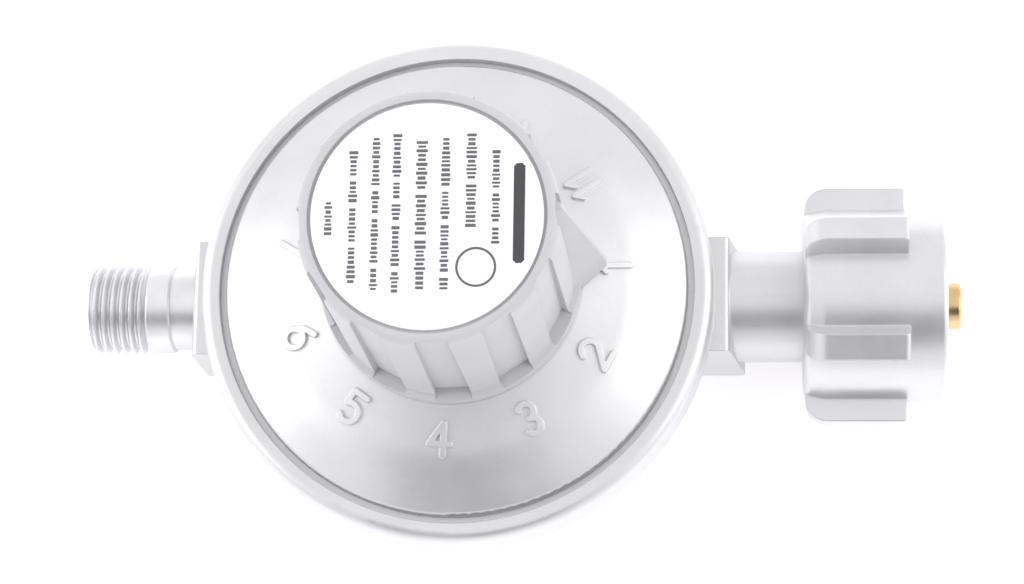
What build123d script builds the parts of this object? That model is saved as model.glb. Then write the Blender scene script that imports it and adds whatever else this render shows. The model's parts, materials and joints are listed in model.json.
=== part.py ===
"""Adjustable low-pressure gas regulator: a crimped round body with a diaphragm, an inlet
union nut on +X, a threaded outlet on -X and an eleven-step dial knob on +Z.

Millimetres. The origin is the centre of the flat underside, on the knob's axis.
"""
from build123d import *
import os
from math import cos, radians, sin

os.makedirs("parts", exist_ok=True)

# ---------------------------------------------------------------- driving dimensions
AXIS_Z = 10.5            # height of the inlet and outlet axis
RIM_R = 37.2             # outer radius of the crimped rim
RIM_TOP_Z = 23.8         # top of the rim, and of the groove round the cover
RIM_LOW_Z = 15.6         # lower edge of the rim's outer wall
GROOVE_OUT_R = 34.4      # the rolled lip ends here
GROOVE_IN_R = 33.4       # the raised part of the cover starts here
DECK_Z = 29.7            # flat top of the cover, under the knob
DECK_R = 18.4
KNOB_TOP_Z = 63.3
RUN = 0.08               # radial clearance of a running fit
GAP = 0.3                # clearance between pieces that only pass each other

# lower body
BASE_R, SHOULDER_R, SHOULDER_Z = 25.0, 32.8, 13.4
FLOOR_Z = 3.0
CHAMBER_LOW_R, CHAMBER_R, CHAMBER_Z = 23.0, 29.6, 14.2
LEDGE_Z = 19.2           # the diaphragm's edge is clamped on this ledge
SEAT_R = 35.3
LIP_Z = 22.4             # underside of the rolled lip
BAR_HALF_Y = 8.5
BAR_LOW_Z, BAR_HIGH_Z = 2.0, 19.0
OUTLET_BAR_Z = 17.6      # the bar's top falls a little towards the outlet
OUTLET_FACE_X = -39.4
INLET_FACE_X = 40.5
DRAFT = 1.2              # how far the bar's ends lean over their height
NECK_R, NECK_END_X = 8.15, 53.4
SOCKET_R = 5.5           # bore that holds the shank of either nipple
INLET_SOCKET_X, OUTLET_SOCKET_X = 39.0, -33.0    # where those bores end inside
PASSAGE_R = 2.5
PORT_START_X = -24.0     # the outlet's way leaves the chamber inside this

# valve and lever
PIVOT_X, PIVOT_Z = 16.0, 5.2
PIN_R, PIN_HALF = 1.0, 5.2
ORIFICE_X = 20.6         # tip of the seat lip
ORIFICE_R, ORIFICE_END_X = 3.5, 27.5
BOSS_R, BOSS_END_X = 5.8, 31.0
ARM_W = 3.0
CARRIER_HALF_Y, CARRIER_LOW_Z, CARRIER_HIGH_Z = 3.32, 7.5, 13.5
CARRIER_BACK_X, CARRIER_FRONT_X = 12.4, 19.0
PAD_R, PAD_FACE_X = 2.4, 19.67
CHANNEL_HALF_Y, CHEEK_HALF_Y = 3.4, 5.6
FORK_Z = 14.45           # middle of the fork plate
STEM_TRAVEL = 2.5        # how far the diaphragm's centre rises

# diaphragm stack
SHEET_LOW_Z, SHEET_T = 17.4, 0.8
TOP_PLATE_R, BASE_PLATE_R = 22.0, 13.0
STEM_R = 2.0

# cover, spring and spindle
WALL = 2.2
DOME_R, DOME_Z, DOME_BEND = 27.0, 27.4, 22.0     # a point on the cover's slope, and its bend
TOWER_R, TOWER_BORE_R = 11.0, 9.2
TOWER_TOP_Z, TOWER_CAP_T = 52.5, 2.5
SEAT_LOW_Z, SEAT_T = 42.0, 4.0
SPRING_R, WIRE_R, SPRING_COILS = 7.4, 0.65, 6.5
SPINDLE_R = 3.0
SQUARE = 4.2             # across the flats of the spindle's driving end
STEPS = 11               # dial positions in one full turn
DIAL_START = 4.6         # angle of position 1, degrees from +X
DIGIT_R, DIGIT_H, DIGIT_W, STROKE = 23.3, 4.3, 2.7, 0.85
DIGIT_RELIEF = 0.45
DETENT_R, BALL_R, BALL_Z = 13.0, 1.5, 31.0
VENT_R, VENT_PLACE_R, VENT_ANGLE = 1.2, 16.2, 120
STOP_LOW_Z, STOP_H = 40.0, 6.0
COVER_STOP_ANGLE, COVER_STOP_W = 206.4, 2.6
KNOB_STOP_ANGLE, KNOB_STOP_W = 190.0, 4.2

# knob
KNOB_BASE_Z = 30.0
SKIRT_R, SKIRT_TOP_Z = 18.6, 32.4
RIB_R, GRIP_R, CAVITY_R = 17.8, 16.7, 15.1
KNOB_ROOF_Z = 59.8
POCKETS, POCKET_W, POCKET_START = 12, 5.0, 3.0
POCKET_TAPER = 0.6       # degrees that a pocket's sides close in towards the top
BEAK_TIP_R, BEAK_HALF_W, BEAK_ROOT_R = 22.2, 5.2, 16.0
HUB_R, PILOT_R, SCREW_R, SCREW_HEAD_R = 5.5, 1.25, 1.45, 3.2
SCREW_SEAT_Z = KNOB_TOP_Z - 2.2
LABEL_R, LABEL_GAP, LABEL_DEPTH, LABEL_T = 15.5, 0.45, 0.6, 0.5

# union nut, inlet nipple and outlet nipple
NUT_BACK_X, NUT_WALL_X, NUT_END_X = 50.0, 53.2, 70.5
NUT_CORE_R, NUT_RIB_R, NUT_RIB_END_X = 14.1, 17.3, 65.0
NUT_RIBS, NUT_RIB_W, NUT_RIB_START = 6, 4.0, 33.0
NUT_MAJOR_R, NUT_MINOR_R, NUT_PITCH = 10.9, 9.74, 25.4 / 14
NUT_GROOVES, NUT_THREAD_X = 6, 57.6
SPIGOT_R, SPIGOT_END_X = 3.4, 73.0
FLANGE_R, FLANGE_BACK_X, FLANGE_FACE_X = 9.2, 54.2, 57.0
GASKET_R, GASKET_FACE_X = 8.6, 59.6
NOSE_R = 4.2             # the nipple's step inside the gasket
INLET_BORE_R, FILTER_R, FILTER_END_X = 1.6, 3.0, 42.0
INLET_RING_X, OUTLET_RING_X = (50.2, 52.0), (-38.4, -36.8)    # O-ring grooves
INLET_RING_R, OUTLET_RING_R = 3.9, 4.7
OUTLET_MAJOR_R, OUTLET_MINOR_R, OUTLET_PITCH = 6.5785, 5.7225, 25.4 / 19
OUTLET_GROOVES = 6
COLLAR_R, LAND_END_X, OUTLET_END_X = 6.05, -43.1, -55.3
OUTLET_BORE_R = 4.0

PIPE_AXIS = Axis((0, 0, AXIS_Z), (1, 0, 0))
STEP_ANGLE = 360 / STEPS


# ---------------------------------------------------------------- helpers
def outline(*corners):
    """Closed outline in the sketch under way. A corner is (x, y) or (x, y, fillet radius)."""
    points = [corner[:2] for corner in corners]
    radii = [corner[2] if len(corner) > 2 else 0 for corner in corners]
    with BuildLine() as edge_line:
        if any(radii):
            FilletPolyline(*points, radius=radii, close=True)
        else:
            Polyline(*points, close=True)
    make_face(edge_line.edges())


def about_z(*corners, mode=Mode.ADD):
    """Turn an outline of (radius, height) corners about the knob's axis."""
    with BuildSketch(Plane.XZ) as section:
        outline(*corners)
    revolve(section.sketch, axis=Axis.Z, mode=mode)


def about_pipe(*corners, mode=Mode.ADD):
    """Turn an outline of (x, radius) corners about the inlet and outlet axis."""
    with BuildSketch(Plane.XZ) as section:
        outline(*[(c[0], AXIS_Z + c[1], *c[2:]) for c in corners])
    revolve(section.sketch, axis=PIPE_AXIS, mode=mode)


def bore(start_x, end_x, radius):
    """Round hole along the inlet and outlet axis."""
    about_pipe((start_x, 0), (start_x, radius), (end_x, radius), (end_x, 0), mode=Mode.SUBTRACT)


def write(part, name):
    """Name a finished piece and write it to its own file."""
    part.label = name
    export_step(part, f"parts/{name}.step")


def radial_plane(angle, radius, height):
    """Level plane at a polar place, its y pointing at the knob's axis."""
    a = radians(angle)
    return Plane(
        origin=(radius * cos(a), radius * sin(a), height),
        x_dir=(-sin(a), cos(a), 0),
        z_dir=(0, 0, 1),
    )


# ---------------------------------------------------------------- lower body
with BuildPart() as lower_body:
    about_z(
        (0, 0), (BASE_R, 0, 2.0), (SHOULDER_R, SHOULDER_Z, 2.0), (RIM_R, RIM_LOW_Z, 0.8),
        (RIM_R, RIM_TOP_Z, 1.6), (0, RIM_TOP_Z),
    )
    with BuildSketch(Plane.XZ):
        outline(
            (OUTLET_FACE_X, BAR_LOW_Z, 1.2), (INLET_FACE_X + DRAFT, BAR_LOW_Z, 1.2),
            (INLET_FACE_X - DRAFT, BAR_HIGH_Z, 0.8), (OUTLET_FACE_X, OUTLET_BAR_Z, 0.8),
        )
    extrude(amount=BAR_HALF_Y, both=True)
    about_pipe((0, 0), (0, NECK_R), (NECK_END_X, NECK_R, 0.3), (NECK_END_X, 0))
    about_z(
        (0, FLOOR_Z), (CHAMBER_LOW_R, FLOOR_Z, 2.0), (CHAMBER_R, CHAMBER_Z, 3.0),
        (CHAMBER_R, LEDGE_Z), (SEAT_R, LEDGE_Z), (SEAT_R, LIP_Z), (GROOVE_OUT_R, LIP_Z),
        (GROOVE_OUT_R, RIM_TOP_Z + 1), (0, RIM_TOP_Z + 1), mode=Mode.SUBTRACT,
    )
    # boss that holds the brass orifice, standing out of the chamber wall
    about_pipe((ORIFICE_X + 0.8, 0), (ORIFICE_X + 0.8, BOSS_R, 0.4), (BOSS_END_X, BOSS_R),
               (BOSS_END_X, 0))
    # two cheeks that guide the valve carrier and hold the lever's pin
    for side in (-1, 1):
        inner, ledge, outer = side * 1.75, side * CHANNEL_HALF_Y, side * CHEEK_HALF_Y
        with BuildSketch(Plane.YZ.offset(CARRIER_BACK_X - 1)):
            outline(
                (inner, FLOOR_Z - 1), (inner, CARRIER_LOW_Z - 0.1), (ledge, CARRIER_LOW_Z - 0.1),
                (ledge, CARRIER_HIGH_Z - 0.6), (outer, CARRIER_HIGH_Z - 0.6), (outer, FLOOR_Z - 1),
            )
        extrude(amount=ORIFICE_X + 1.2 - CARRIER_BACK_X + 1)
    # the carrier's channel runs up to the orifice's face
    with BuildSketch(Plane.YZ.offset(CARRIER_BACK_X - 1)):
        outline(
            (-CHANNEL_HALF_Y, CARRIER_LOW_Z - 0.1), (CHANNEL_HALF_Y, CARRIER_LOW_Z - 0.1),
            (CHANNEL_HALF_Y, CARRIER_HIGH_Z + 4), (-CHANNEL_HALF_Y, CARRIER_HIGH_Z + 4),
        )
    extrude(amount=ORIFICE_X + 0.8 - CARRIER_BACK_X + 1, mode=Mode.SUBTRACT)
    with BuildSketch(Plane.XZ):
        with Locations((PIVOT_X, PIVOT_Z)):
            Circle(PIN_R)
    extrude(amount=CHEEK_HALF_Y + 1, both=True, mode=Mode.SUBTRACT)
    # inlet way: orifice seat, passage and the socket of the inlet nipple
    bore(ORIFICE_X, ORIFICE_END_X, ORIFICE_R)
    bore(ORIFICE_END_X - 0.5, INLET_SOCKET_X + 1, PASSAGE_R)
    bore(INLET_SOCKET_X, NECK_END_X + 1, SOCKET_R)
    # outlet way: the chamber, a passage and the socket of the outlet nipple
    bore(OUTLET_SOCKET_X - 1, PORT_START_X, OUTLET_BORE_R)
    bore(OUTLET_FACE_X - 1, OUTLET_SOCKET_X, SOCKET_R)
write(lower_body.part, "lower_body")


# ---------------------------------------------------------------- cover with raised dial
def cover_dome(lift):
    """Top of the cover from the deck out to the groove, as (radius, height) corners."""
    return [
        (DECK_R, DECK_Z + lift, 4.0), (DOME_R, DOME_Z + lift, DOME_BEND),
        (GROOVE_IN_R, RIM_TOP_Z + 0.2 + lift, 0.7),
    ]


def stroke_line(*points):
    """One round-ended pen stroke through the points."""
    edges = [Edge.make_line(a, b) for a, b in zip(points, points[1:])]
    if len(edges) == 1:
        middle = tuple((a + b) / 2 for a, b in zip(*points))
        edges = [Edge.make_line(points[0], middle), Edge.make_line(middle, points[1])]
    SlotArc(Wire(edges), height=STROKE)


def stroke_arc(centre, radius, start, sweep):
    """One round-ended pen stroke along an arc, angles in degrees."""
    angles = [radians(start + sweep * k / 2) for k in range(3)]
    ends = [(centre[0] + radius * cos(a), centre[1] + radius * sin(a)) for a in angles]
    SlotArc(Edge.make_three_point_arc(*ends), height=STROKE)


def draw_digit(digit, shift):
    """Numeral made of pen strokes, centred on (shift, 0) in the sketch under way."""
    w, h = DIGIT_W / 2, DIGIT_H / 2
    left, right = shift - w, shift + w
    if digit == 1:
        stroke_line((shift - 0.9, h - 0.9), (shift, h), (shift, -h))
    elif digit == 2:
        stroke_arc((shift, h - w), w, 160, -200)
        stroke_line((right - 0.12, h - w - 0.5), (left, -h), (right, -h))
    elif digit == 3:
        r = h / 2
        stroke_arc((shift, r), r, 150, -240)
        stroke_arc((shift, -r), r, 90, -240)
    elif digit == 4:
        stroke_line((shift + 0.6, -h), (shift + 0.6, h), (left, -0.7))
        stroke_line((left, -0.7), (right + 0.2, -0.7))
    elif digit == 5:
        stroke_line((right - 0.2, h), (left + 0.3, h), (left + 0.2, 0.25))
        stroke_arc((shift - 0.1, -h + w), w, 125, -265)
    elif digit == 6:
        with Locations((shift, -h + w)):
            Circle(w + STROKE / 2)
            Circle(w - STROKE / 2, mode=Mode.SUBTRACT)
        stroke_line((left + 0.02, -h + w), (left + 0.5, h - 1.2), (shift + 0.7, h))
    elif digit == 7:
        stroke_line((left, h), (right, h), (shift - 0.4, -h))
    elif digit == 8:
        for y, r in ((h - 0.98, 0.98), (-h + 1.15, 1.15)):
            with Locations((shift, y)):
                Circle(r + STROKE / 2)
        for y, r in ((h - 0.98, 0.98), (-h + 1.15, 1.15)):
            with Locations((shift, y)):
                Circle(r - STROKE / 2, mode=Mode.SUBTRACT)
    elif digit == 9:
        with Locations((shift, h - w)):
            Circle(w + STROKE / 2)
            Circle(w - STROKE / 2, mode=Mode.SUBTRACT)
        stroke_line((right - 0.02, h - w), (right - 0.5, -h + 1.2), (shift - 0.7, -h))
    else:
        with Locations((shift, 0)):
            SlotOverall(DIGIT_H + STROKE, DIGIT_W + STROKE, rotation=90)
            SlotOverall(DIGIT_H - STROKE, DIGIT_W - STROKE, rotation=90, mode=Mode.SUBTRACT)


with BuildPart() as dial_digits:
    for position in range(1, STEPS + 1):
        numerals = [int(c) for c in str(position)]
        spread = 3.1 if len(numerals) > 1 else 0
        if position == 11:
            spread = 2.1
        # tops of the numerals face the knob
        face = radial_plane(DIAL_START - STEP_ANGLE * (position - 1), DIGIT_R, DECK_Z - 5)
        for k, digit in enumerate(numerals):
            with BuildSketch(face):
                draw_digit(digit, (k - (len(numerals) - 1) / 2) * spread)
            extrude(amount=10)
    about_z((0, DECK_Z - 6), (0, DECK_Z + DIGIT_RELIEF), *cover_dome(DIGIT_RELIEF),
            (GROOVE_IN_R, DECK_Z - 6), mode=Mode.INTERSECT)

with BuildPart() as cover:
    about_z(
        (0, LIP_Z - 1.8), (SEAT_R - 0.1, LIP_Z - 1.8), (SEAT_R - 0.1, LIP_Z - 0.1),
        (GROOVE_IN_R, LIP_Z - 0.1), *reversed(cover_dome(0)), (0, DECK_Z),
    )
    add(dial_digits.part)
    about_z(
        (0, LIP_Z - 3), (30.4, LIP_Z - 3), (30.4, LIP_Z - 0.6, 1.5), (DECK_R, DECK_Z - WALL - 0.3, 3),
        (0, DECK_Z - WALL - 0.3), mode=Mode.SUBTRACT,
    )
    # tower round the spring, closed by a cap with the spindle's bearing hole
    about_z((0, DECK_Z - WALL), (TOWER_R, DECK_Z - WALL), (TOWER_R, TOWER_TOP_Z, 1.0),
            (0, TOWER_TOP_Z))
    with BuildSketch(Plane.XY.offset(LIP_Z)):
        Circle(TOWER_BORE_R)
    extrude(amount=TOWER_TOP_Z - TOWER_CAP_T - LIP_Z, mode=Mode.SUBTRACT)
    with BuildSketch(Plane.XY.offset(LIP_Z)):
        Circle(SPINDLE_R + RUN)
    extrude(amount=TOWER_TOP_Z, mode=Mode.SUBTRACT)
    # two keyways that stop the spring seat turning
    with BuildSketch(Plane.XY.offset(DECK_Z - WALL - 1)):
        with PolarLocations(TOWER_BORE_R, 2):
            Rectangle(1.9, 2.6)
    extrude(amount=TOWER_TOP_Z - TOWER_CAP_T - DECK_Z + WALL + 1, mode=Mode.SUBTRACT)
    # fixed stop on the tower
    with BuildSketch(Plane.XY.offset(STOP_LOW_Z)):
        with PolarLocations(TOWER_R + 1.0, 1, start_angle=COVER_STOP_ANGLE):
            Rectangle(3.0, COVER_STOP_W)
    extrude(amount=STOP_H)
    # track of the detent ball, with one dimple for each step
    with BuildSketch(Plane.XZ):
        with Locations((DETENT_R, BALL_Z)):
            Circle(BALL_R + 0.15)
    revolve(axis=Axis.Z, mode=Mode.SUBTRACT)
    for step in range(STEPS):
        with Locations(radial_plane(DIAL_START + STEP_ANGLE * step, DETENT_R, BALL_Z)):
            Sphere(BALL_R + 0.4, mode=Mode.SUBTRACT)
    # breather hole, hidden under the knob
    with BuildSketch(Plane.XY.offset(DECK_Z - WALL - 2)):
        with PolarLocations(VENT_PLACE_R, 1, start_angle=VENT_ANGLE):
            Circle(VENT_R)
    extrude(amount=WALL + 4, mode=Mode.SUBTRACT)
write(cover.part, "cover")

with BuildPart() as vent_filter:
    # sintered disc in the breather hole
    with BuildSketch(Plane.XY.offset(DECK_Z - WALL + 0.2)):
        with PolarLocations(VENT_PLACE_R, 1, start_angle=VENT_ANGLE):
            Circle(VENT_R)
    extrude(amount=1.4)
write(vent_filter.part, "vent_filter")

# ---------------------------------------------------------------- diaphragm and its stack
SHEET_TOP_Z = SHEET_LOW_Z + SHEET_T
EDGE_LOW_Z, EDGE_TOP_Z = LEDGE_Z + 0.05, LIP_Z - 1.85
FOLD_R = 25.8            # middle of the diaphragm's rolling fold

with BuildPart() as diaphragm:
    # clamped edge, rolling fold and flat middle in one sheet, with the stem's hole
    about_z(
        (STEM_R + 0.05, SHEET_LOW_Z), (FOLD_R - 2.4, SHEET_LOW_Z, 0.5),
        (FOLD_R - 1.6, SHEET_LOW_Z + 4.0, 1.4), (FOLD_R + 1.6, SHEET_LOW_Z + 4.0, 1.4),
        (FOLD_R + 2.6, EDGE_LOW_Z, 0.4), (SEAT_R - 0.2, EDGE_LOW_Z), (SEAT_R - 0.2, EDGE_TOP_Z),
        (31.0, EDGE_TOP_Z), (31.0, EDGE_LOW_Z + SHEET_T), (FOLD_R + 3.1, EDGE_LOW_Z + SHEET_T, 0.4),
        (FOLD_R + 2.2, SHEET_TOP_Z + 4.0, 1.9), (FOLD_R - 2.2, SHEET_TOP_Z + 4.0, 1.9),
        (FOLD_R - 3.0, SHEET_TOP_Z, 0.4), (STEM_R + 0.05, SHEET_TOP_Z),
    )
write(diaphragm.part, "diaphragm")

with BuildPart() as diaphragm_plate:
    # upper plate, with a raised ring that centres the main spring
    z = SHEET_TOP_Z + 0.05
    about_z(
        (STEM_R + 0.05, z), (TOP_PLATE_R, z, 0.3), (TOP_PLATE_R, z + 0.8, 0.3), (9.2, z + 0.8),
        (9.2, z + 1.8, 0.3), (8.5, z + 1.8, 0.3), (8.5, z + 0.8), (STEM_R + 0.05, z + 0.8),
    )
write(diaphragm_plate.part, "diaphragm_plate")
PLATE_TOP_Z = SHEET_TOP_Z + 0.85

with BuildPart() as diaphragm_washer:
    # lower plate that backs the sheet round the stem
    about_z((STEM_R + 0.05, SHEET_LOW_Z - 0.85), (BASE_PLATE_R, SHEET_LOW_Z - 0.85, 0.3),
            (BASE_PLATE_R, SHEET_LOW_Z - 0.05, 0.3), (STEM_R + 0.05, SHEET_LOW_Z - 0.05))
write(diaphragm_washer.part, "diaphragm_washer")

with BuildPart() as diaphragm_stem:
    # head under the lever's fork, neck, flange under the diaphragm and shank above it
    about_z(
        (0, FORK_Z - 2.35), (2.6, FORK_Z - 2.35, 0.3), (2.6, FORK_Z - 1.05, 0.2),
        (1.25, FORK_Z - 1.05), (1.25, FORK_Z + 1.15), (4.0, FORK_Z + 1.15),
        (4.0, SHEET_LOW_Z - 0.9), (STEM_R, SHEET_LOW_Z - 0.9), (STEM_R, PLATE_TOP_Z + 8.4, 0.3),
        (0, PLATE_TOP_Z + 8.4),
    )
write(diaphragm_stem.part, "diaphragm_stem")

with BuildPart() as relief_spring:
    # small spring that holds the relief seat shut
    with BuildLine():
        Helix(pitch=1.5, height=5.4, radius=3.2, center=(0, 0, PLATE_TOP_Z + 0.5))
    with BuildSketch(Plane(origin=(3.2, 0, PLATE_TOP_Z + 0.5), z_dir=(0, 1, 0))):
        Circle(0.35)
    sweep()
write(relief_spring.part, "relief_spring")

with BuildPart() as relief_spring_cup:
    # press-on cup that holds the relief spring down
    cup_z = PLATE_TOP_Z + 6.4
    about_z((STEM_R, cup_z), (4.3, cup_z, 0.3), (4.3, cup_z + 0.8, 0.3), (3.2, cup_z + 0.8),
            (3.2, cup_z + 1.6, 0.3), (STEM_R, cup_z + 1.6))
write(relief_spring_cup.part, "relief_spring_cup")

# ---------------------------------------------------------------- lever and inlet valve
with BuildPart() as lever:
    with BuildSketch(Plane.XZ):
        with Locations((PIVOT_X, PIVOT_Z)):
            Circle(1.9)
        # long arm: out under the carrier, then up to the fork
        outline(
            (PIVOT_X, PIVOT_Z - 0.7), (PIVOT_X, PIVOT_Z + 0.7), (10.2, PIVOT_Z + 0.7, 0.8),
            (5.4, FORK_Z + 0.5, 0.4), (3.2, FORK_Z + 0.5), (3.2, FORK_Z - 0.5),
            (4.6, FORK_Z - 0.5, 0.3), (9.2, PIVOT_Z - 0.7, 1.0),
        )
        # short arm: up into the carrier's slot, with a round tip
        outline((PIVOT_X - 0.6, PIVOT_Z), (PIVOT_X - 0.6, AXIS_Z), (PIVOT_X + 0.6, AXIS_Z),
                (PIVOT_X + 0.6, PIVOT_Z))
        with Locations((PIVOT_X, AXIS_Z)):
            Circle(0.95)
        with Locations((PIVOT_X, PIVOT_Z)):
            Circle(PIN_R + 0.05, mode=Mode.SUBTRACT)
    extrude(amount=ARM_W / 2, both=True)
    with BuildSketch(Plane.XY.offset(FORK_Z - 0.5)):
        with Locations((0.6, 0)):
            RectangleRounded(7.2, 6.6, 1.0)
        with Locations((-1.4, 0)):
            SlotOverall(6.2, 3.0, mode=Mode.SUBTRACT)
    extrude(amount=1.0)
write(lever.part, "lever")

with BuildPart() as lever_pin:
    with BuildSketch(Plane.XZ):
        with Locations((PIVOT_X, PIVOT_Z)):
            Circle(PIN_R)
    extrude(amount=PIN_HALF, both=True)
    chamfer(lever_pin.edges().filter_by(GeomType.CIRCLE), 0.2)
write(lever_pin.part, "lever_pin")

with BuildPart() as valve_carrier:
    length = CARRIER_FRONT_X - CARRIER_BACK_X
    with BuildSketch(Plane.YZ.offset(CARRIER_BACK_X)):
        with Locations((0, (CARRIER_LOW_Z + CARRIER_HIGH_Z) / 2)):
            RectangleRounded(2 * CARRIER_HALF_Y, CARRIER_HIGH_Z - CARRIER_LOW_Z, 0.5)
    extrude(amount=length)
    # slot for the lever's short arm, wider at the mouth, and the pad's recess
    with BuildSketch(Plane.XZ):
        outline(
            (PIVOT_X - 1.02, AXIS_Z + 1.3), (PIVOT_X + 1.02, AXIS_Z + 1.3),
            (PIVOT_X + 1.02, AXIS_Z - 1.1), (PIVOT_X + 1.6, AXIS_Z - 1.1),
            (PIVOT_X + 1.6, CARRIER_LOW_Z - 1), (PIVOT_X - 1.6, CARRIER_LOW_Z - 1),
            (PIVOT_X - 1.6, AXIS_Z - 1.1), (PIVOT_X - 1.02, AXIS_Z - 1.1),
        )
    extrude(amount=ARM_W / 2 + GAP, both=True, mode=Mode.SUBTRACT)
    about_pipe((CARRIER_FRONT_X - 1, 0), (CARRIER_FRONT_X - 1, PAD_R), (CARRIER_FRONT_X + 1, PAD_R),
               (CARRIER_FRONT_X + 1, 0), mode=Mode.SUBTRACT)
write(valve_carrier.part, "valve_carrier")

with BuildPart() as valve_pad:
    about_pipe((CARRIER_FRONT_X - 1, 0), (CARRIER_FRONT_X - 1, PAD_R), (PAD_FACE_X, PAD_R, 0.15),
               (PAD_FACE_X, 0))
write(valve_pad.part, "valve_pad")

with BuildPart() as valve_orifice:
    # brass insert: seat lip, round body and bore
    about_pipe(
        (ORIFICE_X, 0.9), (ORIFICE_X, 1.4, 0.1), (ORIFICE_X + 0.9, 2.4),
        (ORIFICE_X + 0.9, ORIFICE_R), (ORIFICE_END_X - 0.1, ORIFICE_R, 0.3),
        (ORIFICE_END_X - 0.1, 0.9),
    )
write(valve_orifice.part, "valve_orifice")

# ---------------------------------------------------------------- spring, seat and spindle
CAP_LOW_Z = TOWER_TOP_Z - TOWER_CAP_T
SPRING_LOW_Z = PLATE_TOP_Z + WIRE_R + 0.05
with BuildPart() as main_spring:
    spring_height = SEAT_LOW_Z - WIRE_R - 0.05 - SPRING_LOW_Z
    with BuildLine():
        Helix(pitch=spring_height / SPRING_COILS, height=spring_height, radius=SPRING_R,
              center=(0, 0, SPRING_LOW_Z))
    with BuildSketch(Plane(origin=(SPRING_R, 0, SPRING_LOW_Z), z_dir=(0, 1, 0))):
        Circle(WIRE_R)
    sweep()
write(main_spring.part, "main_spring")

with BuildPart() as spring_seat:
    # disc that climbs the spindle, kept from turning by two keys
    about_z(
        (SPINDLE_R + RUN, SEAT_LOW_Z), (4.8, SEAT_LOW_Z), (4.8, SEAT_LOW_Z - 1.6),
        (6.2, SEAT_LOW_Z - 1.6, 0.4), (6.2, SEAT_LOW_Z), (TOWER_BORE_R - RUN, SEAT_LOW_Z, 0.2),
        (TOWER_BORE_R - RUN, SEAT_LOW_Z + SEAT_T, 0.2), (SPINDLE_R + RUN, SEAT_LOW_Z + SEAT_T),
    )
    with BuildSketch(Plane.XY.offset(SEAT_LOW_Z)):
        with PolarLocations(TOWER_BORE_R - 0.2, 2):
            Rectangle(1.8, 2.4)
    extrude(amount=SEAT_T)
write(spring_seat.part, "spring_seat")

with BuildPart() as adjusting_spindle:
    # long thread below, collar under the tower's cap, bearing and square driving end above
    about_z(
        (0, SEAT_LOW_Z - 7.5), (SPINDLE_R, SEAT_LOW_Z - 7.5, 0.6), (SPINDLE_R, CAP_LOW_Z - 2.3),
        (5.4, CAP_LOW_Z - 2.3, 0.3), (5.4, CAP_LOW_Z - 1.0, 0.2), (SPINDLE_R, CAP_LOW_Z - 1.0),
        (SPINDLE_R, TOWER_TOP_Z + 0.2), (2.5, TOWER_TOP_Z + 0.2), (2.5, TOWER_TOP_Z + 1.0),
        (SPINDLE_R, TOWER_TOP_Z + 1.0), (SPINDLE_R, TOWER_TOP_Z + 1.4), (0, TOWER_TOP_Z + 1.4),
    )
    with BuildSketch(Plane.XY.offset(TOWER_TOP_Z + 1.4)):
        Rectangle(SQUARE, SQUARE)
    extrude(amount=KNOB_ROOF_Z - TOWER_TOP_Z - 1.4)
    chamfer(adjusting_spindle.faces().sort_by(Axis.Z)[-1].edges(), 0.3)
    with BuildSketch(Plane.XY.offset(TOWER_TOP_Z - 2)):
        Circle(PILOT_R)
    extrude(amount=KNOB_ROOF_Z, mode=Mode.SUBTRACT)
write(adjusting_spindle.part, "adjusting_spindle")

with BuildPart() as thrust_washer:
    about_z((SPINDLE_R + 0.1, CAP_LOW_Z - 0.9), (7.0, CAP_LOW_Z - 0.9, 0.2),
            (7.0, CAP_LOW_Z - 0.1, 0.2), (SPINDLE_R + 0.1, CAP_LOW_Z - 0.1))
write(thrust_washer.part, "thrust_washer")

with BuildPart() as spindle_clip:
    # open ring in the spindle's groove, above the tower's cap
    with BuildSketch(Plane.XY.offset(TOWER_TOP_Z + 0.25)):
        Circle(4.4)
        Circle(2.5, mode=Mode.SUBTRACT)
        with Locations((4, 0)):
            Rectangle(5, 2.2, mode=Mode.SUBTRACT)
    extrude(amount=0.7)
write(spindle_clip.part, "spindle_clip")


# ---------------------------------------------------------------- knob, label and detent
def beak_section(height, tip_r=BEAK_TIP_R, half_width=BEAK_HALF_W):
    """Level slice through the pointer: wide at the knob, almost a point at the tip."""
    with BuildSketch(radial_plane(DIAL_START, 0, height)) as section:
        outline((-half_width, -BEAK_ROOT_R), (half_width, -BEAK_ROOT_R), (0.35, -tip_r),
                (-0.35, -tip_r))
    return section.sketch.faces()[0]


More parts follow.
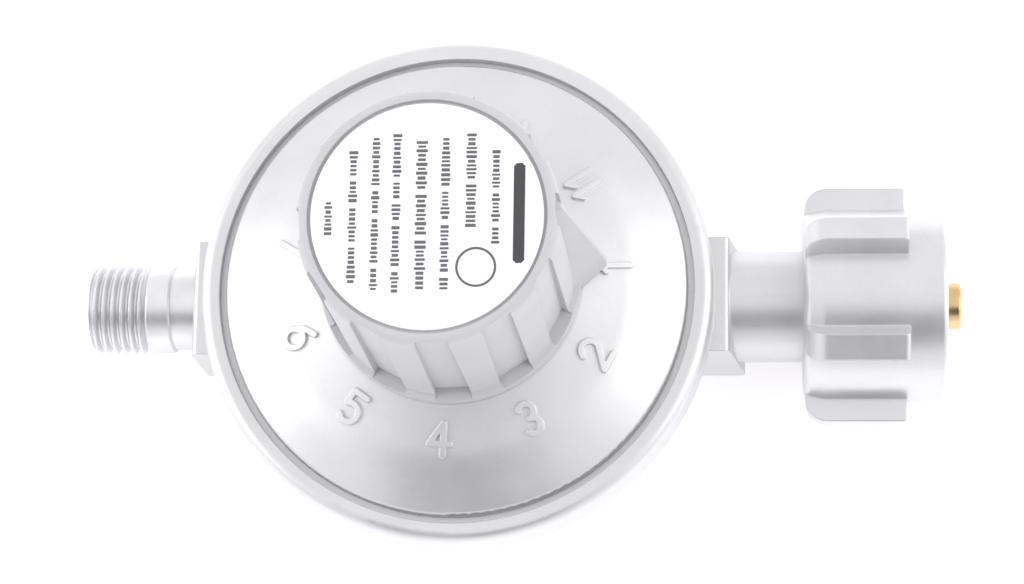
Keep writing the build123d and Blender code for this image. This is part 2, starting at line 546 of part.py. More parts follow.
with BuildPart() as knob:
    # shell: skirt ring, ribbed grip and domed edge, with the label's recess on top
    about_z(
        (0, KNOB_BASE_Z), (SKIRT_R, KNOB_BASE_Z, 0.3), (SKIRT_R, SKIRT_TOP_Z, 0.12),
        (RIB_R, SKIRT_TOP_Z + 0.3), (RIB_R - 0.2, KNOB_TOP_Z, 1.3), (0, KNOB_TOP_Z),
    )
    with BuildSketch(Plane.XY.offset(SKIRT_TOP_Z)):
        with PolarLocations(GRIP_R + 2, POCKETS, start_angle=POCKET_START):
            Rectangle(4, POCKET_W)
    extrude(amount=KNOB_TOP_Z - SKIRT_TOP_Z + 1, taper=POCKET_TAPER, mode=Mode.SUBTRACT)
    # the pointer: a beak that rises from the skirt to the top edge
    loft(sections=[beak_section(KNOB_BASE_Z + 0.35), beak_section(SKIRT_TOP_Z)], ruled=True)
    loft(sections=[beak_section(SKIRT_TOP_Z), beak_section(KNOB_TOP_Z - 0.6, RIB_R, 1.2)], ruled=True)
    # cavity that clears the tower
    about_z((0, KNOB_BASE_Z - 1), (CAVITY_R, KNOB_BASE_Z - 1), (CAVITY_R, KNOB_ROOF_Z, 1.5),
            (0, KNOB_ROOF_Z), mode=Mode.SUBTRACT)
    # hub on the spindle's square, with the screw's hole and counterbore
    with BuildSketch(Plane.XY.offset(TOWER_TOP_Z + 2.2)):
        Circle(HUB_R)
    extrude(amount=KNOB_ROOF_Z - TOWER_TOP_Z - 1.2)
    with BuildSketch(Plane.XY.offset(TOWER_TOP_Z + 1)):
        Rectangle(SQUARE, SQUARE)
    extrude(amount=KNOB_ROOF_Z - TOWER_TOP_Z - 1, mode=Mode.SUBTRACT)
    with BuildSketch(Plane.XY.offset(KNOB_ROOF_Z - 1)):
        Circle(SCREW_R)
    extrude(amount=5, mode=Mode.SUBTRACT)
    with BuildSketch(Plane.XY.offset(SCREW_SEAT_Z)):
        Circle(SCREW_HEAD_R)
    extrude(amount=3, mode=Mode.SUBTRACT)
    with BuildSketch(Plane.XY.offset(KNOB_TOP_Z - LABEL_DEPTH)):
        Circle(LABEL_R + LABEL_GAP)
    extrude(amount=1, mode=Mode.SUBTRACT)
    # moving stop inside the shell
    with BuildSketch(Plane.XY.offset(STOP_LOW_Z - 1)):
        with PolarLocations(CAVITY_R - 1.2, 1, start_angle=KNOB_STOP_ANGLE):
            Rectangle(3.0, KNOB_STOP_W)
    extrude(amount=STOP_H + 2)
    # pillar that houses the detent ball and its spring
    with BuildSketch(Plane.XY.offset(KNOB_BASE_Z + 1.2)):
        with PolarLocations(DETENT_R + 0.7, 1, start_angle=DIAL_START):
            Rectangle(4.6, 4.4)
    extrude(amount=7.4)
    with BuildSketch(Plane.XY.offset(KNOB_BASE_Z)):
        with PolarLocations(DETENT_R, 1, start_angle=DIAL_START):
            Circle(BALL_R + 0.05)
    extrude(amount=7.2, mode=Mode.SUBTRACT)
write(knob.part, "knob")

with BuildPart() as knob_screw:
    about_z(
        (0, TOWER_TOP_Z + 0.5), (PILOT_R, TOWER_TOP_Z + 0.5, 0.2), (PILOT_R, SCREW_SEAT_Z),
        (SCREW_HEAD_R - GAP, SCREW_SEAT_Z), (SCREW_HEAD_R - GAP, SCREW_SEAT_Z + 1.4, 0.4),
        (0, SCREW_SEAT_Z + 1.4),
    )
    for turn in (0, 90):
        with BuildSketch(Plane.XY.offset(SCREW_SEAT_Z + 0.7)):
            Rectangle(3.2, 0.7, rotation=turn)
        extrude(amount=2, mode=Mode.SUBTRACT)
write(knob_screw.part, "knob_screw")

with BuildPart() as knob_label:
    with BuildSketch(Plane.XY.offset(KNOB_TOP_Z - LABEL_DEPTH)):
        Circle(LABEL_R)
    extrude(amount=LABEL_T)
    fillet(knob_label.edges().group_by(Axis.Z)[-1], 0.15)
write(knob_label.part, "knob_label")

with BuildPart() as detent_ball:
    with Locations(radial_plane(DIAL_START, DETENT_R, BALL_Z)):
        Sphere(BALL_R)
write(detent_ball.part, "detent_ball")

with BuildPart() as detent_spring:
    place = radial_plane(DIAL_START, DETENT_R, 0).origin
    with BuildLine():
        Helix(pitch=0.95, height=3.8, radius=1.05, center=(place.X, place.Y, BALL_Z + BALL_R + 0.45))
    with BuildSketch(Plane(origin=(place.X + 1.05, place.Y, BALL_Z + BALL_R + 0.45), z_dir=(0, 1, 0))):
        Circle(0.2)
    sweep()
write(detent_spring.part, "detent_spring")

# ---------------------------------------------------------------- inlet side
with BuildPart() as inlet_nipple:
    # shank in the body's neck, flange that traps the nut, and the spigot that seals
    ring_back, ring_front = INLET_RING_X
    about_pipe(
        (INLET_SOCKET_X + 0.6, 0), (INLET_SOCKET_X + 0.6, SOCKET_R, 0.5), (ring_back, SOCKET_R),
        (ring_back, INLET_RING_R), (ring_front, INLET_RING_R), (ring_front, SOCKET_R),
        (NECK_END_X, SOCKET_R), (NECK_END_X, NECK_R - 0.05), (FLANGE_BACK_X, NECK_R - 0.05),
        (FLANGE_BACK_X, FLANGE_R, 0.2), (FLANGE_FACE_X, FLANGE_R, 0.4), (FLANGE_FACE_X, NOSE_R),
        (GASKET_FACE_X, NOSE_R, 0.4), (GASKET_FACE_X, SPIGOT_R), (SPIGOT_END_X, SPIGOT_R, 0.5),
        (SPIGOT_END_X, 0),
    )
    bore(INLET_SOCKET_X, FILTER_END_X, FILTER_R)
    bore(INLET_SOCKET_X, SPIGOT_END_X + 1, INLET_BORE_R)
write(inlet_nipple.part, "inlet_nipple")

with BuildPart() as inlet_filter:
    # sintered plug in the end of the nipple's bore
    about_pipe((INLET_SOCKET_X + 0.7, 0), (INLET_SOCKET_X + 0.7, FILTER_R - 0.05, 0.3),
               (FILTER_END_X - 0.1, FILTER_R - 0.05), (FILTER_END_X - 0.1, 0))
write(inlet_filter.part, "inlet_filter")


def o_ring(groove, inner_r, bend):
    """Ring squeezed between a groove's floor and the socket's wall."""
    back, front = groove[0] + 0.15, groove[1] - 0.15
    about_pipe((back, inner_r + 0.05), (back, SOCKET_R - 0.05, bend), (front, SOCKET_R - 0.05, bend),
               (front, inner_r + 0.05))


with BuildPart() as inlet_o_ring:
    o_ring(INLET_RING_X, INLET_RING_R, 0.6)
write(inlet_o_ring.part, "inlet_o_ring")

with BuildPart() as inlet_gasket:
    about_pipe((FLANGE_FACE_X + 0.05, NOSE_R + 0.05), (FLANGE_FACE_X + 0.05, GASKET_R, 0.3),
               (GASKET_FACE_X - 0.3, GASKET_R, 0.3), (GASKET_FACE_X - 0.3, NOSE_R + 0.05))
write(inlet_gasket.part, "inlet_gasket")

with BuildPart() as nut_washer:
    # thrust washer between the nut's back wall and the nipple's flange
    about_pipe((NUT_WALL_X + 0.1, NECK_R + RUN), (NUT_WALL_X + 0.1, FLANGE_R, 0.1),
               (FLANGE_BACK_X - 0.1, FLANGE_R, 0.1), (FLANGE_BACK_X - 0.1, NECK_R + RUN))
write(nut_washer.part, "nut_washer")

with BuildPart() as union_nut:
    about_pipe(
        (NUT_BACK_X, 0), (NUT_BACK_X, NUT_CORE_R - 0.6, 1.2), (NUT_BACK_X + 3.0, NUT_CORE_R, 2.0),
        (NUT_END_X, NUT_CORE_R, 0.7), (NUT_END_X, 0),
    )
    # grip ribs, rounded at the back and square at the front
    for k in range(NUT_RIBS):
        a = radians(NUT_RIB_START + 360 / NUT_RIBS * k)
        rib_plane = Plane(origin=(0, 0, AXIS_Z), x_dir=(1, 0, 0), z_dir=(0, cos(a), sin(a)))
        with BuildSketch(rib_plane):
            outline(
                (NUT_BACK_X + 0.3, NUT_CORE_R - 3), (NUT_BACK_X + 0.3, NUT_RIB_R, 3.2),
                (NUT_RIB_END_X, NUT_RIB_R, 0.6), (NUT_RIB_END_X, NUT_CORE_R - 3),
            )
        extrude(amount=NUT_RIB_W / 2, both=True)
    # back bore on the neck, relief behind the thread, then the thread as rings with flat crests
    about_pipe((NUT_BACK_X - 1, 0), (NUT_BACK_X - 1, NECK_R + RUN), (NUT_WALL_X, NECK_R + RUN),
               (NUT_WALL_X, NUT_MAJOR_R), (NUT_THREAD_X, NUT_MAJOR_R), (NUT_THREAD_X, NUT_MINOR_R),
               (NUT_END_X + 1, NUT_MINOR_R), (NUT_END_X + 1, 0), mode=Mode.SUBTRACT)
    for k in range(NUT_GROOVES):
        x = NUT_THREAD_X + 1.0 + NUT_PITCH * k
        about_pipe((x, NUT_MINOR_R - 0.2), (x, NUT_MINOR_R), (x + 0.62, NUT_MAJOR_R),
                   (x + 0.82, NUT_MAJOR_R), (x + 1.44, NUT_MINOR_R), (x + 1.44, NUT_MINOR_R - 0.2),
                   mode=Mode.SUBTRACT)
    about_pipe((NUT_END_X - 1.0, 0), (NUT_END_X - 1.0, NUT_MINOR_R), (NUT_END_X, NUT_MAJOR_R),
               (NUT_END_X + 1, NUT_MAJOR_R), (NUT_END_X + 1, 0), mode=Mode.SUBTRACT)
write(union_nut.part, "union_nut")

# ---------------------------------------------------------------- outlet side
with BuildPart() as outlet_nipple:
    # thread as rings with flat crests, a plain land, a neck, and a shank in the body's bar
    crests = []
    start = OUTLET_END_X + 0.9
    for k in range(OUTLET_GROOVES):
        x = start + OUTLET_PITCH * k
        crests += [(x, OUTLET_MAJOR_R), (x + 0.42, OUTLET_MINOR_R), (x + 0.62, OUTLET_MINOR_R),
                   (x + 1.04, OUTLET_MAJOR_R)]
    ring_back, ring_front = OUTLET_RING_X
    about_pipe(
        (OUTLET_END_X, 0), (OUTLET_END_X, OUTLET_MAJOR_R - 0.6), (start - 0.3, OUTLET_MAJOR_R),
        *crests, (LAND_END_X, OUTLET_MAJOR_R, 0.2), (LAND_END_X, COLLAR_R), (OUTLET_FACE_X, COLLAR_R), (OUTLET_FACE_X, SOCKET_R), (ring_back, SOCKET_R),
        (ring_back, OUTLET_RING_R), (ring_front, OUTLET_RING_R), (ring_front, SOCKET_R),
        (OUTLET_SOCKET_X - 0.1, SOCKET_R, 0.4), (OUTLET_SOCKET_X - 0.1, 0),
    )
    bore(OUTLET_END_X - 1, OUTLET_SOCKET_X + 1, OUTLET_BORE_R)
write(outlet_nipple.part, "outlet_nipple")

with BuildPart() as outlet_o_ring:
    o_ring(OUTLET_RING_X, OUTLET_RING_R, 0.2)
write(outlet_o_ring.part, "outlet_o_ring")
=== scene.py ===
"""Looks of the adjustable low-pressure gas regulator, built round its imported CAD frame.

Metres, in the CAD's own frame: +X to the inlet nut, -X to the outlet, +Z up the knob's axis.
"""
import json
import math
import random

import bmesh
import bpy
from mathutils import Euler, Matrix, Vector


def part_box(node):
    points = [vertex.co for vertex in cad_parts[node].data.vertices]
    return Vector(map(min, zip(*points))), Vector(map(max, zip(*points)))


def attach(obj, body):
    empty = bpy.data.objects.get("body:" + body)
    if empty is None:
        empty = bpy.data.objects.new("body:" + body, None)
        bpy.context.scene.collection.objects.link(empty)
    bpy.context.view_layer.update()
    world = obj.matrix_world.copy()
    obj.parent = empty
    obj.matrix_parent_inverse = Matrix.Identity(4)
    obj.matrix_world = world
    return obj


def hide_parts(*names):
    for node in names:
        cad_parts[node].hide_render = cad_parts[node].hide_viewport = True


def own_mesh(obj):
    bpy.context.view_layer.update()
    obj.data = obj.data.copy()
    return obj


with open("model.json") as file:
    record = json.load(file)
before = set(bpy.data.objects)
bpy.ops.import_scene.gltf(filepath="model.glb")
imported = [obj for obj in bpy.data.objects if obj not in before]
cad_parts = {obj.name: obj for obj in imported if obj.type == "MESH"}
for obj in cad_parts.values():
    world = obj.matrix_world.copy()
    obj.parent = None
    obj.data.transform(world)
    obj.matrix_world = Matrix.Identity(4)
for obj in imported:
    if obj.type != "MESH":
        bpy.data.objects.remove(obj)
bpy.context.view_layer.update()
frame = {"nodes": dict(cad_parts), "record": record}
nodes = frame["nodes"]
MM = 0.001
TAU = 2 * math.pi

# places read from the frame
LABEL_TOP_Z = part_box("knob_label")[1][2]
NUT_LOW, NUT_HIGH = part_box("union_nut")
BODY_LOW_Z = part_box("lower_body")[0][2]
OUTLET_LOW, OUTLET_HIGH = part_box("outlet_nipple")
AXIS_Z = (OUTLET_LOW[2] + OUTLET_HIGH[2]) / 2
SPRING_LOW, SPRING_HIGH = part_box("main_spring")


# ---------------------------------------------------------------- materials
class Shader:
    """A Principled material with small helpers for the nodes that drive it."""

    def __init__(self, name):
        self.mat = bpy.data.materials.new(name)
        self.mat.use_nodes = True
        self.tree = self.mat.node_tree
        self.bsdf = self.tree.nodes["Principled BSDF"]
        self.place = self.tree.nodes.new("ShaderNodeTexCoord").outputs["Object"]

    def node(self, kind, **sockets):
        made = self.tree.nodes.new(kind)
        for name, value in sockets.items():
            self.put(made, name.replace("_", " "), value)
        return made

    def put(self, made, socket, value):
        if isinstance(value, bpy.types.NodeSocket):
            self.tree.links.new(value, made.inputs[socket])
        else:
            made.inputs[socket].default_value = value

    def set(self, **sockets):
        for name, value in sockets.items():
            self.put(self.bsdf, name.replace("_", " "), value)

    def noise(self, scale, detail=4.0, rough=0.55, stretch=(1, 1, 1)):
        mapping = self.node("ShaderNodeMapping", Vector=self.place, Scale=stretch)
        made = self.node("ShaderNodeTexNoise", Vector=mapping.outputs[0], Scale=scale,
                         Detail=detail, Roughness=rough)
        return made.outputs["Fac"]

    def remap(self, value, low, high, out_low, out_high):
        made = self.node("ShaderNodeMapRange")
        for k, item in enumerate((value, low, high, out_low, out_high)):
            self.put(made, k, item)
        return made.outputs[0]

    def ramp(self, value, dark, light, low=0.3, high=0.7):
        made = self.node("ShaderNodeValToRGB", Fac=value)
        made.color_ramp.elements[0].position = low
        made.color_ramp.elements[1].position = high
        made.color_ramp.elements[0].color = (*dark, 1)
        made.color_ramp.elements[1].color = (*light, 1)
        return made.outputs[0]

    def bump(self, height, strength, distance, under=None):
        made = self.node("ShaderNodeBump", Strength=strength, Distance=distance, Height=height)
        if under is not None:
            self.put(made, "Normal", under)
        return made.outputs[0]

    def soft_edges(self, radius):
        made = self.node("ShaderNodeBevel", Radius=radius)
        made.samples = 6
        return made.outputs[0]


def cast_paint(name, dark, light, metallic, rough, grain, edge):
    """Satin silver paint over a die casting: faint clouding, fine grain, softened edges."""
    s = Shader(name)
    cloud = s.noise(90.0, 5.0)
    speck = s.noise(grain, 2.0, 0.6)
    speck_share = 0.35
    mottled = s.node("ShaderNodeMath")
    mottled.operation = "MULTIPLY_ADD"
    for socket, value in enumerate((speck, speck_share, s.remap(cloud, 0.3, 0.7, 0.15, 0.5))):
        s.put(mottled, socket, value)
    s.set(Base_Color=s.ramp(mottled.outputs[0], dark, light, 0.2, 0.8), Metallic=metallic,
          Roughness=s.remap(cloud, 0.3, 0.7, rough - 0.04, rough + 0.05))
    edges = s.soft_edges(edge)
    s.set(Normal=s.bump(speck, 0.10, 0.00006, edges))
    return s.mat


def turned_metal(name, dark, light, rough, edge=0.00008):
    """Lathe-turned metal: fine rings along X, slightly uneven gloss."""
    s = Shader(name)
    rings = s.noise(260.0, 5.0, 0.7, (24, 0.6, 0.6))
    blotch = s.noise(220.0, 3.0)
    s.set(Base_Color=s.ramp(blotch, dark, light), Metallic=1.0,
          Roughness=s.remap(rings, 0.3, 0.7, rough - 0.06, rough + 0.08))
    s.set(Normal=s.bump(rings, 0.12, 0.00004, s.soft_edges(edge)))
    return s.mat


def plain_metal(name, dark, light, rough, grain=900.0):
    """Plated or drawn metal of the small inner pieces."""
    s = Shader(name)
    blotch = s.noise(grain, 4.0)
    s.set(Base_Color=s.ramp(blotch, dark, light), Metallic=1.0,
          Roughness=s.remap(blotch, 0.3, 0.7, rough - 0.05, rough + 0.08))
    s.set(Normal=s.bump(blotch, 0.15, 0.00005))
    return s.mat


def moulded_plastic(name, dark, light, rough, grain=2600.0, edge=0.0002):
    """Moulded plastic with a fine spark-eroded grain."""
    s = Shader(name)
    cloud = s.noise(70.0, 4.0)
    speck = s.noise(grain, 3.0, 0.65)
    s.set(Base_Color=s.ramp(cloud, dark, light),
          Roughness=s.remap(speck, 0.3, 0.7, rough - 0.05, rough + 0.07), Specular_IOR_Level=0.45)
    s.set(Normal=s.bump(speck, 0.16, 0.00005, s.soft_edges(edge)))
    return s.mat


def printed_film(name, tone):
    """Smooth label film: almost flat, with a slight ripple and a thin gloss."""
    s = Shader(name)
    ripple = s.noise(160.0, 2.0)
    shaded_tone = [0.97 * channel for channel in tone]
    s.set(Base_Color=s.ramp(ripple, shaded_tone, tone),
          Roughness=s.remap(ripple, 0.3, 0.7, 0.34, 0.42), Coat_Weight=0.15, Coat_Roughness=0.25)
    s.set(Normal=s.bump(ripple, 0.06, 0.0002))
    return s.mat


def nitrile(name):
    """Black seal rubber with a dusty bloom."""
    s = Shader(name)
    bloom = s.noise(700.0, 4.0)
    s.set(Base_Color=s.ramp(bloom, (0.012, 0.012, 0.013), (0.03, 0.03, 0.032)),
          Roughness=s.remap(bloom, 0.3, 0.7, 0.55, 0.75))
    s.set(Normal=s.bump(bloom, 0.2, 0.00005))
    return s.mat


MATERIALS = {
    "silver_paint": cast_paint("silver_paint", (0.62, 0.62, 0.63), (0.70, 0.70, 0.71),
                               metallic=0.70, rough=0.38, grain=2400.0, edge=0.25 * MM),
    "nut_metal": cast_paint("nut_metal", (0.63, 0.63, 0.645), (0.72, 0.72, 0.73),
                            metallic=0.76, rough=0.34, grain=2000.0, edge=0.4 * MM),
    "silver_steel": turned_metal("silver_steel", (0.69, 0.69, 0.705), (0.77, 0.77, 0.78), 0.38),
    "zinc_steel": plain_metal("zinc_steel", (0.55, 0.56, 0.57), (0.68, 0.68, 0.68), 0.32),
    "spring_steel": plain_metal("spring_steel", (0.36, 0.36, 0.37), (0.48, 0.48, 0.48), 0.28),
    "brass": turned_metal("brass", (0.66, 0.46, 0.21), (0.76, 0.56, 0.30), 0.26),
    "sintered_bronze": plain_metal("sintered_bronze", (0.35, 0.22, 0.10), (0.62, 0.42, 0.20), 0.5,
                                   grain=3000.0),
    "grey_plastic": moulded_plastic("grey_plastic", (0.50, 0.50, 0.515), (0.54, 0.54, 0.555), 0.44),
    "white_acetal": moulded_plastic("white_acetal", (0.78, 0.78, 0.75), (0.84, 0.84, 0.81), 0.38),
    "label_film": printed_film("label_film", (0.86, 0.855, 0.88)),
    "rubber_black": nitrile("rubber_black"),
}
INK = moulded_plastic("label_ink", (0.11, 0.11, 0.12), (0.15, 0.15, 0.16), 0.5)
HEADING_INK = moulded_plastic("heading_ink", (0.05, 0.05, 0.055), (0.075, 0.075, 0.08), 0.5)

for entry in frame["record"]["subparts"]:
    node = nodes[entry["node"]]
    for slot in node.material_slots:
        slot.material = MATERIALS[entry["material_slot"]]


# ---------------------------------------------------------------- mesh helpers
def add_mesh(name, bm, body, material, smooth=True):
    """Turn a bmesh into a piece that rides on a CAD body."""
    bmesh.ops.recalc_face_normals(bm, faces=bm.faces)
    mesh = bpy.data.meshes.new(name)
    bm.to_mesh(mesh)
    bm.free()
    piece = bpy.data.objects.new(name, mesh)
    bpy.context.scene.collection.objects.link(piece)
    mesh.materials.append(material)
    for face in mesh.polygons:
        face.use_smooth = smooth
    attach(piece, body)
    return piece


def lathe_x(bm, stations, radius_at, turns=192):
    """Closed tube about the pipe's axis: stations are (x, radius), or (x, None) for radius_at."""
    rings = []
    for x, radius in stations:
        ring = []
        for k in range(turns):
            angle = TAU * k / turns
            r = radius if radius is not None else radius_at(x, angle)
            ring.append(bm.verts.new((x, r * math.cos(angle), AXIS_Z + r * math.sin(angle))))
        rings.append(ring)
    for a, b in zip(rings, rings[1:] + rings[:1]):
        for k in range(turns):
            j = (k + 1) % turns
            bm.faces.new((a[k], a[j], b[j], b[k]))


def mark_sharp(piece, degrees):
    """Keep edges sharper than the angle crisp, and shade the rest smooth."""
    bm = bmesh.new()
    bm.from_mesh(piece.data)
    limit = math.radians(degrees)
    for edge in bm.edges:
        edge.smooth = len(edge.link_faces) == 2 and edge.calc_face_angle(0) < limit
    bm.to_mesh(piece.data)
    bm.free()


# ---------------------------------------------------------------- outlet with a left-hand thread
def make_outlet():
    """Outlet nipple with its thread cut as a helix, in place of the rings of the CAD."""
    pitch = 25.4 * MM / 19
    major, minor = 6.5785 * MM, 5.7225 * MM
    bore, neck, socket = 4.0 * MM, 6.05 * MM, 5.5 * MM
    end, tail_x = OUTLET_LOW[0], OUTLET_HIGH[0]
    land_x, face_x = -43.1 * MM, -39.4 * MM    # where the plain land and then the neck end
    nose_r = major - 0.75 * (major - minor)
    lead_length, runout = 0.55 * MM, 0.8 * pitch
    thread_end = end + 8.9 * MM
    root_share, flank_share = 0.09, 0.30       # of the pitch: half the root's flat, and a flank

    def radius_at(x, angle):
        # followed by the right hand about +X, a left-hand groove runs towards -X
        phase = ((x - end) / pitch + angle / TAU) % 1.0
        flank = min(1.0, max(0.0, (abs(phase - 0.5) - root_share) / flank_share))
        depth = (major - minor) * (1 - flank)
        fade = min(1.0, max(0.0, (thread_end - x) / runout))
        nose = min(1.0, max(0.0, (x - end) / lead_length))
        return min(major - depth * fade, nose_r + (major - nose_r) * nose)

    steps = 200
    stations = [(end, nose_r)]
    stations += [(end + (thread_end - end) * k / steps, None) for k in range(1, steps + 1)]
    stations += [
        (land_x - 0.3 * MM, major), (land_x, major - 0.3 * MM), (land_x, neck), (face_x, neck),
        (face_x, socket), (tail_x, socket), (tail_x, bore + 0.2 * MM), (tail_x - 0.2 * MM, bore),
        (end + 0.5 * MM, bore), (end, bore + 0.45 * MM),
    ]
    bm = bmesh.new()
    lathe_x(bm, stations, radius_at)
    piece = add_mesh("outlet_nipple_threaded", bm, "body", MATERIALS["silver_steel"])
    mark_sharp(piece, 38)
    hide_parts("outlet_nipple")


make_outlet()


WIRE_R, COILS = 0.65 * MM, 6.5


def make_spring_half(name, from_turn, to_turn):
    """Half of the main spring, a fixed helix of round wire between the given turns."""
    steps_per_turn, sides = 40, 12
    coil_r = (SPRING_HIGH[0] - SPRING_LOW[0]) / 2 - WIRE_R
    rise = (SPRING_HIGH[2] - SPRING_LOW[2] - 2 * WIRE_R) / COILS
    steps = round((to_turn - from_turn) * steps_per_turn)
    bm = bmesh.new()
    rings = []
    for k in range(steps + 1):
        turn = from_turn + (to_turn - from_turn) * k / steps
        out = Vector((math.cos(TAU * turn), math.sin(TAU * turn), 0))
        centre = out * coil_r + Vector((0, 0, SPRING_LOW[2] + WIRE_R + rise * turn))
        ring = []
        for j in range(sides):
            up = Vector((0, 0, WIRE_R * math.sin(TAU * j / sides)))
            ring.append(bm.verts.new(centre + out * WIRE_R * math.cos(TAU * j / sides) + up))
        rings.append(ring)
    for a, b in zip(rings, rings[1:]):
        for j in range(sides):
            i = (j + 1) % sides
            bm.faces.new((a[j], a[i], b[i], b[j]))
    bm.faces.new(list(reversed(rings[0])))
    bm.faces.new(rings[-1])
    piece = add_mesh(name, bm, "body", MATERIALS["spring_steel"])
    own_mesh(piece)
    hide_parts("main_spring")


def make_diaphragm():
    """Rubber sheet of the diaphragm, copied from the CAD in black rubber and set on the body."""
    piece = bpy.data.objects.new("diaphragm_sheet", nodes["diaphragm"].data.copy())
    bpy.context.scene.collection.objects.link(piece)
    piece.data.materials.clear()
    piece.data.materials.append(MATERIALS["rubber_black"])
    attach(piece, "body")
    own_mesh(piece)
    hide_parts("diaphragm")


make_spring_half("main_spring_lower", 0, COILS / 2)
make_spring_half("main_spring_upper", COILS / 2, COILS)
make_diaphragm()


# ---------------------------------------------------------------- label print, without any letters
# the print sinks a little into the film and stands a hair above it
PRINT_LOW, PRINT_HIGH = LABEL_TOP_Z - 0.01 * MM, LABEL_TOP_Z + 0.03 * MM


def slab(bm, cx, cy, size_x, size_y, corner):
    """Thin block with chamfered corners, lying on the label."""
    hx, hy = size_x / 2, size_y / 2
    c = min(corner, hx * 0.6, hy * 0.6)
    outline = [(-hx + c, -hy), (hx - c, -hy), (hx, -hy + c), (hx, hy - c),
               (hx - c, hy), (-hx + c, hy), (-hx, hy - c), (-hx, -hy + c)]
    rings = [[bm.verts.new((cx + x, cy + y, z)) for x, y in outline]
             for z in (PRINT_LOW, PRINT_HIGH)]
    bm.faces.new(rings[1])
    bm.faces.new(list(reversed(rings[0])))
    for k in range(len(outline)):
        j = (k + 1) % len(outline)
        bm.faces.new((rings[0][k], rings[0][j], rings[1][j], rings[1][k]))


def ring_outline(bm, cx, cy, outer, inner, sides=48):
    """Flat ring lying on the label."""
    rings = []
    for r, z in ((outer, PRINT_LOW), (outer, PRINT_HIGH), (inner, PRINT_HIGH), (inner, PRINT_LOW)):
        angles = [TAU * k / sides for k in range(sides)]
        rings.append([bm.verts.new((cx + r * math.cos(t), cy + r * math.sin(t), z)) for t in angles])
    for a, b in zip(rings, rings[1:] + rings[:1]):
        for k in range(sides):
            j = (k + 1) % sides
            bm.faces.new((a[k], a[j], b[j], b[k]))


def make_label_print():
    """Rows of plain strokes stand for the small print; they run along Y, as the rows do."""
    stroke_gap, word_gap = 0.24, 0.6
    draw = random.Random(7)
    bm = bmesh.new()
    # row's place across the label, its two ends and its height
    rows = [
        (9.1, 8.9, -4.2, 1.2), (5.8, 11.2, -1.6, 1.4), (2.4, 10.6, -10.6, 1.2),
        (-0.8, 10.2, -10.8, 1.5), (-4.1, 11.2, -11.2, 1.2), (-6.9, 10.7, -10.6, 1.1),
        (-9.9, 8.9, -9.2, 1.2), (-13.1, 1.9, -2.8, 1.0),
    ]
    for x, top, bottom, height in rows:
        y = top
        while y > bottom:
            for _ in range(draw.randint(4, 12)):
                width = draw.uniform(0.26, 0.46)
                if y - width < bottom:
                    break
                tall = height * draw.choice((0.7, 0.7, 1.0, 0.9))
                slab(bm, x * MM, (y - width / 2) * MM, tall * MM, width * MM, corner=0.06 * MM)
                y -= width + stroke_gap
            y -= word_gap
    # plain outlined circle where the outlined mark is
    ring_outline(bm, 6.6 * MM, -7.0 * MM, outer=2.7 * MM, inner=2.4 * MM)
    piece = add_mesh("label_print", bm, "dial", INK, smooth=False)
    # plain solid bar where the heavy heading is
    bm = bmesh.new()
    slab(bm, 12.2 * MM, 0.3 * MM, 1.5 * MM, 13.6 * MM, corner=0.4 * MM)
    piece = add_mesh("label_heading", bm, "dial", HEADING_INK, smooth=False)


make_label_print()


# ---------------------------------------------------------------- floor, light and camera
DOME, FLAG = 1.12, 0.06
FLAG_DIRECTION = (0.0, -0.64, 0.77)
FLAG_FADE = (0.88, 0.985)     # cosines between which the dome dims towards the flag
FLOOR_GLOW = 0.40             # the floor is a lit table, so undersides stay bright
BOX_SIZE, BOX_POWER = 0.7, 2.8
BOX_TARGET = (0.0, 0.0, 0.02)


def make_floor():
    """Softly lit table that the nut's ribs and the far edge of the underside rest on."""
    nut_foot = Vector((NUT_HIGH[0] - 5.5 * MM, 0, NUT_LOW[2]))
    body_foot = Vector((-24 * MM, 0, BODY_LOW_Z))
    gap = 0.05 * MM
    slope = math.atan2(body_foot.z - nut_foot.z, nut_foot.x - body_foot.x)
    mesh = bpy.data.meshes.new("floor")
    half = 3.0
    corners = [(-half, -half, 0), (half, -half, 0), (half, half, 0), (-half, half, 0)]
    mesh.from_pydata(corners, [], [(0, 1, 2, 3)])
    floor = bpy.data.objects.new("floor", mesh)
    bpy.context.scene.collection.objects.link(floor)
    floor.rotation_euler = Euler((0, slope, 0))
    floor.location = body_foot - Vector((0, 0, gap))
    s = Shader("floor")
    s.set(Base_Color=(0.93, 0.92, 0.945, 1), Roughness=0.7, Specular_IOR_Level=0.2,
          Emission_Color=(0.985, 0.975, 1.0, 1), Emission_Strength=FLOOR_GLOW)
    mesh.materials.append(s.mat)


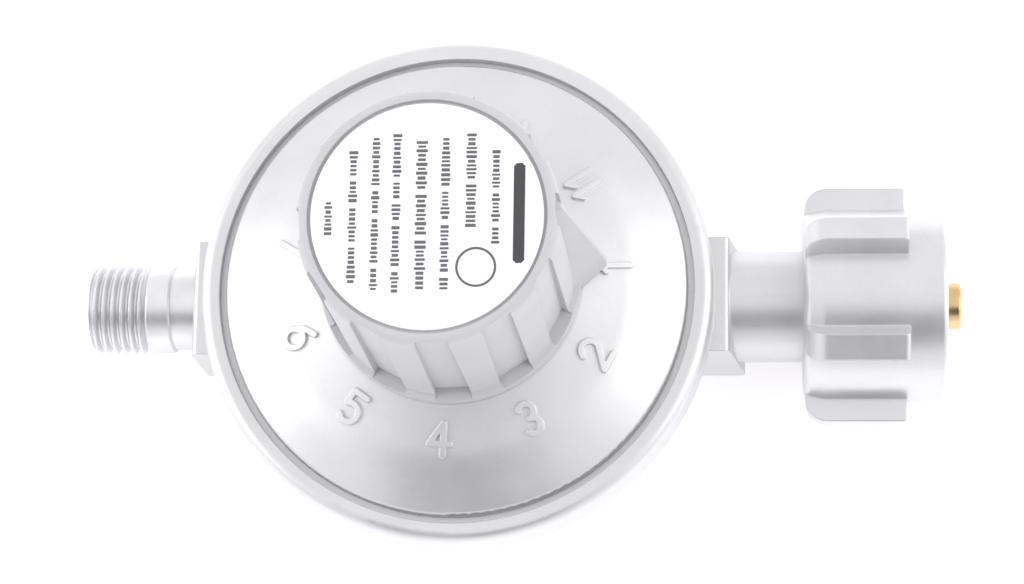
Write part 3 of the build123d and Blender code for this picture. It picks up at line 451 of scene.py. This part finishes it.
def soft_box(name, place):
    """Square light that faces the object."""
    light = bpy.data.lights.new(name, "AREA")
    light.shape = "SQUARE"
    light.size = BOX_SIZE
    light.energy = BOX_POWER
    light.color = (1, 0.99, 0.98)
    lamp = bpy.data.objects.new(name, light)
    bpy.context.scene.collection.objects.link(lamp)
    lamp.location = place
    lamp.rotation_euler = (Vector(BOX_TARGET) - Vector(place)).to_track_quat("-Z", "Y").to_euler()


def make_light():
    """Bright even dome with one dimmer patch in front and above, and a soft box at either side."""
    world = bpy.data.worlds.new("studio")
    bpy.context.scene.world = world
    world.use_nodes = True
    tree = world.node_tree
    where = tree.nodes.new("ShaderNodeTexCoord").outputs["Generated"]
    facing = tree.nodes.new("ShaderNodeVectorMath")
    facing.operation = "DOT_PRODUCT"
    tree.links.new(where, facing.inputs[0])
    facing.inputs[1].default_value = Vector(FLAG_DIRECTION).normalized()
    level = tree.nodes.new("ShaderNodeMapRange")
    level.interpolation_type = "SMOOTHSTEP"
    tree.links.new(facing.outputs["Value"], level.inputs["Value"])
    for socket, value in zip(("From Min", "From Max", "To Min", "To Max"), FLAG_FADE + (DOME, FLAG)):
        level.inputs[socket].default_value = value
    background = tree.nodes["Background"]
    background.inputs["Color"].default_value = (0.985, 0.98, 1.0, 1)
    tree.links.new(level.outputs[0], background.inputs["Strength"])
    soft_box("left_box", (-0.8, 0.03, 0.55))
    soft_box("right_box", (0.8, 0.08, 0.6))


def make_camera():
    """Long lens almost straight above, leaning a little from the front and the inlet's side."""
    camera = bpy.data.cameras.new("camera")
    camera.sensor_width = 36.0
    camera.lens = 107.7
    camera.clip_start = 0.01
    holder = bpy.data.objects.new("camera", camera)
    bpy.context.scene.collection.objects.link(holder)
    holder.location = (43.3 * MM, -104.8 * MM, 450.7 * MM)
    lean = Euler([math.radians(angle) for angle in (13.69, 4.57, -0.24)], "ZYX")
    holder.rotation_euler = lean.to_matrix().to_euler()
    bpy.context.scene.camera = holder


make_floor()
make_light()
make_camera()
bpy.context.scene.view_settings.view_transform = "Standard"
